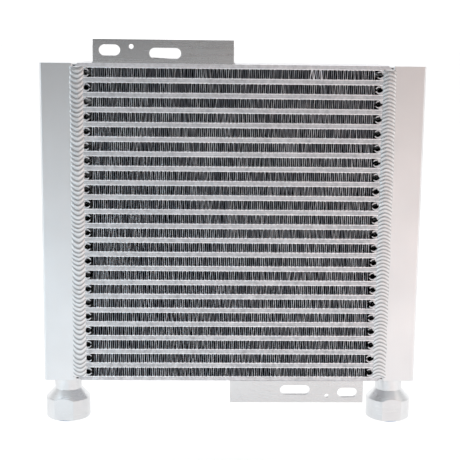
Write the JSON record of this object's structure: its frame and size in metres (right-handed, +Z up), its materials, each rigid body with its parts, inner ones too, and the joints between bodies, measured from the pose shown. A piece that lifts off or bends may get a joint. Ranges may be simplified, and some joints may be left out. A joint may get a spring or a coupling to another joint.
{
  "type": "hydraulic oil cooler",
  "caption": "Bar-and-plate oil cooler: brazed finned core between two welded tanks, threaded ports below with dust plugs, and slotted mounting brackets above and below.",
  "frame": {"origin": "middle of the base, on the plane that the two port plugs stand on", "axes": "+X to the right seen from the front, -Y out of the front face that the brackets are flush with, +Z up from the ports to the upper bracket"},
  "size_m": [0.3364, 0.0646, 0.3444],
  "materials": {
    "air_fins": "thin rolled strip, mill finish, greyed by brazing",
    "turbulators": "thin rolled strip, brazed",
    "welds": "rippled TIG bead",
    "port_plugs": "moulded polyethylene, slightly glossy",
    "port_bosses": "turned and milled, satin",
    "tank_caps": "plate, linished",
    "tanks": "extrusion, satin with faint draw lines",
    "brackets": "extruded angle, satin",
    "parting_sheets": "clad sheet, brazed edges",
    "air_bars": "extruded hollow-nose bar, matt after brazing",
    "oil_bars": "drawn bar, matt after brazing",
    "side_plates": "plate, matt after brazing"
  },
  "bodies": {
    "root": {"air_fin_01": "air_fins", "air_fin_02": "air_fins", "air_fin_03": "air_fins", "air_fin_04": "air_fins", "air_fin_05": "air_fins", "air_fin_06": "air_fins", "air_fin_07": "air_fins", "air_fin_08": "air_fins", "air_fin_09": "air_fins", "air_fin_10": "air_fins", "air_fin_11": "air_fins", "air_fin_12": "air_fins", "air_fin_13": "air_fins", "air_fin_14": "air_fins", "air_fin_15": "air_fins", "air_fin_16": "air_fins", "air_fin_17": "air_fins", "air_fin_18": "air_fins", "air_fin_19": "air_fins", "air_fin_20": "air_fins", "air_fin_21": "air_fins", "air_fin_22": "air_fins", "back_oil_bars": "oil_bars", "bottom_side_plate": "side_plates", "front_oil_bars": "oil_bars", "left_air_bars": "air_bars", "left_back_seam_weld": "welds", "left_bottom_groove_weld": "welds", "left_front_seam_weld": "welds", "left_port_boss": "port_bosses", "left_port_weld": "welds", "left_tank": "tanks", "left_tank_bottom_cap": "tank_caps", "left_tank_top_cap": "tank_caps", "left_top_groove_weld": "welds", "lower_bracket": "brackets", "lower_bracket_welds": "welds", "oil_turbulators": "turbulators", "parting_sheets": "parting_sheets", "right_air_bars": "air_bars", "right_back_seam_weld": "welds", "right_bottom_groove_weld": "welds", "right_front_seam_weld": "welds", "right_port_boss": "port_bosses", "right_port_weld": "welds", "right_tank": "tanks", "right_tank_bottom_cap": "tank_caps", "right_tank_top_cap": "tank_caps", "right_top_groove_weld": "welds", "top_side_plate": "side_plates", "upper_bracket": "brackets", "upper_bracket_welds": "welds"},
    "left_plug": {"left_port_plug": "port_plugs"},
    "right_plug": {"right_port_plug": "port_plugs"}
  },
  "joints": [
    {"name": "left_plug_pull", "type": "slide", "parent": "root", "child": "left_plug", "axis": [0, 0, -1], "range_m": [0, 0.08]},
    {"name": "right_plug_pull", "type": "slide", "parent": "root", "child": "right_plug", "axis": [0, 0, -1], "range_m": [0, 0.08]}
  ]
}
